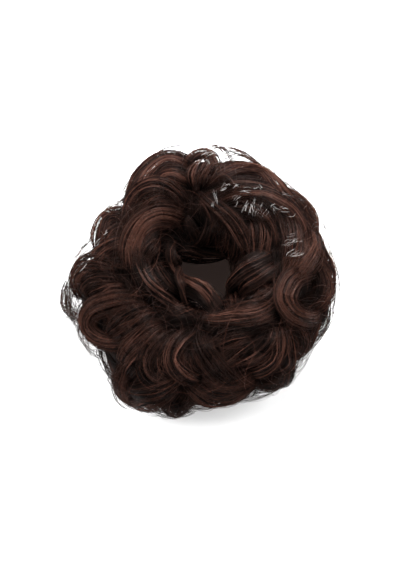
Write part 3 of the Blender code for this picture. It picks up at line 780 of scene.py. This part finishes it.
bpy.ops.object.select_all(action="DESELECT")
cores = bpy.data.curves.new("lock_cores", "CURVE")
cores.dimensions = "3D"
cores.bevel_depth = 1.0
cores.bevel_resolution = 2
cores.use_fill_caps = True
for lock in (*LOCKS, *under_locks, *hole_locks):
    points, outward, thick = lock_line(lock, np.linspace(0.02, 0.98, CORE_STATIONS))
    points = points - outward * (CORE_SINK * thick)[:, None]
    core_radii = thick * CORE_SHARE
    points[:, 2] = np.maximum(points[:, 2], core_radii + FLOOR_GAP)
    spline = cores.splines.new("POLY")
    spline.points.add(CORE_STATIONS - 1)
    for point, place, radius in zip(spline.points, points, core_radii):
        point.co = (*place, 1)
        point.radius = radius
core_object = bpy.data.objects.new("lock_cores", cores)
scene.collection.objects.link(core_object)
bpy.context.view_layer.objects.active = core_object
core_object.select_set(True)
bpy.ops.object.convert(target="MESH")
core_object = bpy.context.object
bpy.ops.object.mode_set(mode="EDIT")
bpy.ops.mesh.select_all(action="SELECT")
bpy.ops.mesh.remove_doubles(threshold=0.00001)
bpy.ops.mesh.normals_make_consistent(inside=False)
bpy.ops.uv.smart_project(angle_limit=1.15, island_margin=0.001)
bpy.ops.object.mode_set(mode="OBJECT")
core_object.data.uv_layers[0].name = "OFBake"
core_object.data.shade_smooth()
core_object.data.materials.clear()
core_object.data.materials.append(packed)
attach(core_object, "root")
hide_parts("hair_curls")
print("cores:", len(core_object.data.polygons), "faces")

# %% [markdown]
# ## The locks that show
# The strands of the locks make six pieces, one for each sixth of the ring, so that no mesh grows too
# heavy. A lock belongs to the sixth that its middle lies in.

# %% The locks that show
STRANDS_PER_METRE = 3400  # of lock length, for a lock of girth 1
TIGHT_OVER = 145  # locks that reach further over bend tightly round the rim of the hole
TIGHT_STEP = 3.2 * MM
SIXTHS = (
    "hair_right", "hair_back_right", "hair_back_left", "hair_left", "hair_front_left", "hair_front_right",
)
chance = np.random.default_rng(7)
sixths = [Strands() for _ in SIXTHS]
for lock in LOCKS:
    middle_turn = through(unwrapped(lock.round), np.array([0.5]))[0] % 360
    many = round(STRANDS_PER_METRE * lock_length(lock) * lock.girth)
    step = STATION_STEP if max(lock.over) < TIGHT_OVER else TIGHT_STEP
    fill_lock(sixths[int(middle_turn // 60)], lock, many, chance, step=step)
for name, strands in zip(SIXTHS, sixths):
    hair_piece(name, strands, lock_hair)

# %% [markdown]
# ## Below and in the hole
# These strands show from the side and from below. They are fewer, because less is seen of them.

# %% Below and in the hole
UNDER_STRANDS, HOLE_STRANDS = 55, 70  # in each lock
UNDER_STEP = 6.5 * MM
below = Strands()
for lock in under_locks:
    fill_lock(below, lock, UNDER_STRANDS, chance, step=UNDER_STEP)
hair_piece("hair_underside", below, lock_hair)

inside = Strands()
for lock in hole_locks:
    fill_lock(inside, lock, HOLE_STRANDS, chance)
hair_piece("hair_in_hole", inside, lock_hair)

# %% [markdown]
# ## Loose curls and stray hairs
# What makes a messy bun messy is the hair between the locks: single curls that cross them, and fine
# hairs that stand off the outline. Each is an arc on the roll with a bend of its own. The curls lie in
# the grooves, the fly-aways among them are finer and lie on top, and the stray hairs rise a few
# millimetres above the outside. Each row below is one such set.

# %% Loose curls and stray hairs
LooseSet = namedtuple("LooseSet", "many over length bend offset radius rise")
CURLS = LooseSet(500, (-40, 150), (18 * MM, 45 * MM), (30, 110), (-2.5 * MM, 1.0 * MM), 0.10 * MM, 1.5 * MM)
FLY_AWAYS = LooseSet(
    350, (-20, 125), (15 * MM, 40 * MM), (10, 90), (-0.5 * MM, 1.0 * MM), 0.065 * MM, 1.2 * MM
)
STRAYS = LooseSet(150, (-25, 70), (15 * MM, 35 * MM), (60, 150), (-2 * MM, 0.5 * MM), 0.08 * MM, 2.5 * MM)


def loose_hair(strands, kind, chance):
    """Arcs that start anywhere in this belt of the roll, head anywhere and bend to one side."""
    many, stations = kind.many, 14
    share = np.linspace(0, 1, stations)
    turn = chance.uniform(0, 360, many)
    over = chance.uniform(*kind.over, many)
    heading = chance.uniform(0, tau, many)
    bend = chance.uniform(*kind.bend, many) * chance.choice((-1, 1), many)
    length = chance.uniform(*kind.length, many)
    step = length / (stations - 1)
    turns, overs = [turn], [over]
    for _ in range(stations - 1):
        out = RING_RADIUS + ROLL_RADIUS * np.cos(np.radians(overs[-1]))
        turns.append(turns[-1] + np.degrees(step * np.cos(heading) / out))
        overs.append(overs[-1] + np.degrees(step * np.sin(heading) / ROLL_RADIUS))
        heading = heading + bend * step
    base = chance.uniform(*kind.offset, many)[:, None]
    hump = kind.rise * chance.uniform(0.2, 1.0, many)[:, None] * np.sin(np.pi * share)[None] ** 0.8
    points, outward = on_roll(np.stack(turns, 1), np.stack(overs, 1), base + hump)
    radii = kind.radius * chance.uniform(0.7, 1.2, many)[:, None] * taper(share)
    tint = np.clip(chance.normal(0.35, 0.2, many), 0, 1)
    strands.add(points, outward, radii, tint)


curls = Strands()
loose_hair(curls, CURLS, chance)
loose_hair(curls, FLY_AWAYS, chance)
hair_piece("loose_curls", curls, lock_hair)

stray = Strands()
loose_hair(stray, STRAYS, chance)
print("stray hairs so far:", stray.count())

# %% [markdown]
# ## Thin loops on the outline
# Some loops of hair are so thin that the white table shows through them. They lie where the photograph
# has them: above the upper right, at the left, below the front edge and down the right side. A row holds
# the angles, how far the loop stands off as shares of a lock's lift (one share, or one for each angle),
# the number of hairs, and how many degrees they stray from each other.

# %% Thin loops on the outline
Wisp = namedtuple("Wisp", "round over rise hairs apart")
WISPS = (
    Wisp((88, 86, 83, 80, 78, 74), (41, 23, 24, 23, 26, 50), (0.1, 0.3, 0.5, 0.45, 0.2, 0.1), 22, 3),
    Wisp((83, 78, 72, 67, 62), (14, 24, 23, 23, 25), (0.2, 0.65, 0.8, 0.6, 0.2), 30, 4),
    Wisp((80, 76, 70, 64, 60), (48, 24, 24, 23, 27), (0.1, 0.45, 0.5, 0.4, 0.1), 26, 4),
    Wisp((82, 77, 74, 68, 62), (57, 49, 23, 24, 22), (0.1, 0.3, 0.5, 0.6, 0.3), 10, 2),
    Wisp((74, 78, 82, 86, 88), (53, 38, 23, 23, 41), (0.1, 0.3, 0.6, 0.6, 0.1), 9, 2),
    Wisp((61, 54, 48, 42, 35), (24, 22, 22, 21, 20), (0.1, 0.2, 0.3, 0.25, 0.15), 9, 2),
    Wisp((186, 185, 188, 192, 198, 204), (29, 7, 1, -1, 14, 30), (0.1, 0.1, 0.35, 0.35, 0.1, 0.1), 34, 4),
    Wisp((190, 190, 193, 200, 205), (32, 11, 0, 23, 36), 0.1, 28, 4),
    Wisp((182, 186, 190, 194, 202), (11, 4, 1, -1, 24), (0.1, 0.4, 0.5, 0.2, 0.1), 16, 4),
    Wisp((184, 187, 190, 195, 203), (24, 14, 8, 14, 34), (0.0, 0.0, 0.0, 0.0, -0.1), 40, 7),
    Wisp((186, 189, 194, 200, 206), (38, 22, 14, 26, 38), 0.0, 34, 7),
    Wisp((204, 206, 208, 212, 218), (34, 14, -7, -7, 17), (0.1, 0.1, 0.15, 0.1, 0.1), 12, 3),
    Wisp((208, 209, 212, 218), (34, 15, 3, 19), 0.1, 9, 3),
    Wisp((216, 218, 221, 220), (18, 9, 18, 29), 0.1, 8, 3),
    Wisp((220, 225, 230, 234, 234), (29, 23, 21, 18, -8), (0.1, 0.1, 0.1, 0.1, 0.2), 10, 4),
    Wisp((226, 232, 232, 236, 240), (21, 18, -7, -8, -11), (0.1, 0.1, 0.25, 0.5, 0.4), 9, 3),
    Wisp((252, 256, 259, 264, 267), (16, -3, -16, -16, 8), (0.1, 0.1, 0.25, 0.15, 0.1), 12, 4),
    Wisp((280, 289, 296, 303, 308), (2, -8, -8, -6, -4), 0.0, 6, 3),
    Wisp((290, 296, 301, 304), (13, -5, -5, 3), 0.0, 6, 3),
    Wisp((30, 23, 16, 8, 1, 354, 347), (16, 8, 10, 12, 9, 4, 7),
         (0.1, 0.2, 0.15, 0.1, 0.1, 0.15, 0.1), 12, 3),
    Wisp((2, 358, 354, 348, 342), (47, 37, 26, 20, 17), 0.1, 10, 3),
    Wisp((344, 342, 338, 332), (27, 12, 7, 0), 0.1, 7, 3),
    Wisp((134, 137, 141, 144, 148, 153), (59, 48, 42, 21, 21, 19), (0.1, 0.1, 0.1, 0.25, 0.25, 0.1), 10, 3),
    Wisp((156, 164, 168, 173, 179), (32, 34, 19, 25, 37), 0.1, 10, 3),
    Wisp((92, 97, 102, 108, 114), (16, 23, 22, 21, 21), (0.1, 0.3, 0.35, 0.35, 0.25), 9, 2),
    Wisp((112, 120, 126, 134, 142), (20, 20, 18, 19, 48), (0.3, 0.25, 0.25, 0.1, 0.1), 9, 2),
)


def add_wisp(strands, wisp, chance, radius, tint, stations=14, spread=0.15):
    """A few hairs along one row, each with a little course of its own."""
    many = wisp.hairs
    start, end = chance.uniform(-0.02, 0.12, many), chance.uniform(0.88, 1.02, many)
    share = start[:, None] + (end - start)[:, None] * np.linspace(0, 1, stations)
    turn = through(unwrapped(wisp.round), share)
    over = through(wisp.over, share)
    rise = through(np.broadcast_to(wisp.rise, len(wisp.round)), share) * LOCK_LIFT
    for values, much in ((turn, 0.4 * wisp.apart), (over, wisp.apart)):
        first, last = chance.normal(0, much, many)[:, None], chance.normal(0, much, many)[:, None]
        values += first * (1 - share) + last * share + 0.5 * (first + last) * np.sin(np.pi * share)
    rise = rise + chance.normal(0, 0.4 * MM, many)[:, None]
    points, outward = on_roll(turn, over, rise)
    radii = radius * chance.uniform(0.7, 1.2, many)[:, None] * taper(np.linspace(0, 1, stations))
    strands.add(points, outward, radii, np.clip(chance.normal(tint, spread, many), 0, 1))


WISP_RADIUS = 0.10 * MM
for wisp in WISPS:
    add_wisp(stray, wisp, chance, WISP_RADIUS, 0.35)
hair_piece("stray_hairs", stray, stray_hair)

# %% [markdown]
# ## Glints
# At the upper right, and in a few more places, kinked fibres mirror the light in short white streaks.
# The streaks here are painted highlights: short pale fibres of their own, laid over the locks at the same
# places. They stay pale from every side, so from behind they look like scratches. A row holds the angles of
# both ends and the number of fibres.

# %% Glints
GLINT_RISE, GLINT_SPREAD = 0.3, 2.6
GLINT_RADIUS = 0.050 * MM
GLINTS = (
    ((80, 78), (103, 111), 6), ((76, 73), (97, 92), 6), ((68, 66), (89, 83), 4),
    ((62, 57), (88, 84), 6), ((63, 62), (102, 95), 6), ((53, 54), (105, 95), 6),
    ((46, 50), (102, 93), 9), ((43, 46), (100, 91), 6), ((37, 38), (97, 89), 6),
    ((39, 36), (81, 78), 6), ((33, 31), (76, 69), 4), ((42, 40), (61, 56), 4), ((56, 53), (70, 71), 4),
    ((12, 13), (93, 83), 6), ((14, 14), (84, 73), 6), ((18, 18), (81, 72), 4), ((4, 6), (86, 75), 7),
    ((165, 160), (64, 67), 4), ((170, 168), (60, 63), 4), ((182, 180), (50, 55), 4),
    ((100, 98), (45, 41), 4), ((88, 85), (58, 51), 4),
)


def painted_glint_material():
    """Painted highlights: from nearly black to nearly white, by the tint of each fibre."""
    made, tree, shader = plain_material("painted_glint_fibre")
    value = add_node(tree, "Attribute", {}, attribute_name="tint")
    ramp = add_node(tree, "ValToRGB", {"Fac": value.outputs["Fac"]})
    ramp.color_ramp.elements[0].color = (0.02, 0.017, 0.016, 1)
    ramp.color_ramp.elements[1].color = (0.85, 0.82, 0.81, 1)
    join(tree, shader, {"Roughness": 0.3, "Base Color": ramp.outputs["Color"]})
    return made


# Painted highlights, laid over the locks.
painted_glints = Strands()
for turns, overs, many in GLINTS:
    wisp = Wisp(turns, overs, GLINT_RISE, many, GLINT_SPREAD)
    add_wisp(painted_glints, wisp, chance, GLINT_RADIUS, 0.5, stations=7, spread=0.3)
hair_piece("glints", painted_glints, painted_glint_material())

# %% [markdown]
# ## The band
# The elastic can't be seen in the photograph. A black braid is the usual cover, so it gets one here: two
# sets of ribs that cross each other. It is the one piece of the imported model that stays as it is.

# %% The band
def braid_material():
    made, tree, shader = plain_material("band_braid")
    place = add_node(tree, "TexCoord", {}).outputs["Object"]
    to_middle = tuple(-value for value in hole_middle)
    heights = []
    for turn in (0.6, -0.6):
        slant = add_node(
            tree, "Mapping", {"Vector": place, "Location": to_middle, "Rotation": (turn, turn, 0)}
        ).outputs["Vector"]
        ribs = add_node(
            tree, "TexWave", {"Vector": slant, "Scale": 420, "Distortion": 1.0}, bands_direction="Z"
        )
        heights.append(ribs.outputs["Fac"])
    braid = add_node(tree, "Math", {0: heights[0], 1: heights[1]}, operation="MAXIMUM").outputs[0]
    ramp = add_node(tree, "ValToRGB", {"Fac": braid})
    ramp.color_ramp.elements[0].color = (0.003, 0.003, 0.003, 1)
    ramp.color_ramp.elements[1].color = (0.022, 0.020, 0.020, 1)
    rough = add_node(tree, "MapRange", {"Value": braid, "To Min": 0.9, "To Max": 0.65})
    bump = add_node(tree, "Bump", {"Distance": 0.0002, "Height": braid})
    join(tree, shader, {
        "Base Color": ramp.outputs["Color"], "Roughness": rough.outputs["Result"],
        "Normal": bump.outputs["Normal"],
    })
    return made


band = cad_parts["elastic_band"]
band.data.materials.clear()
band.data.materials.append(braid_material())
print("band:", len(band.data.polygons), "faces")
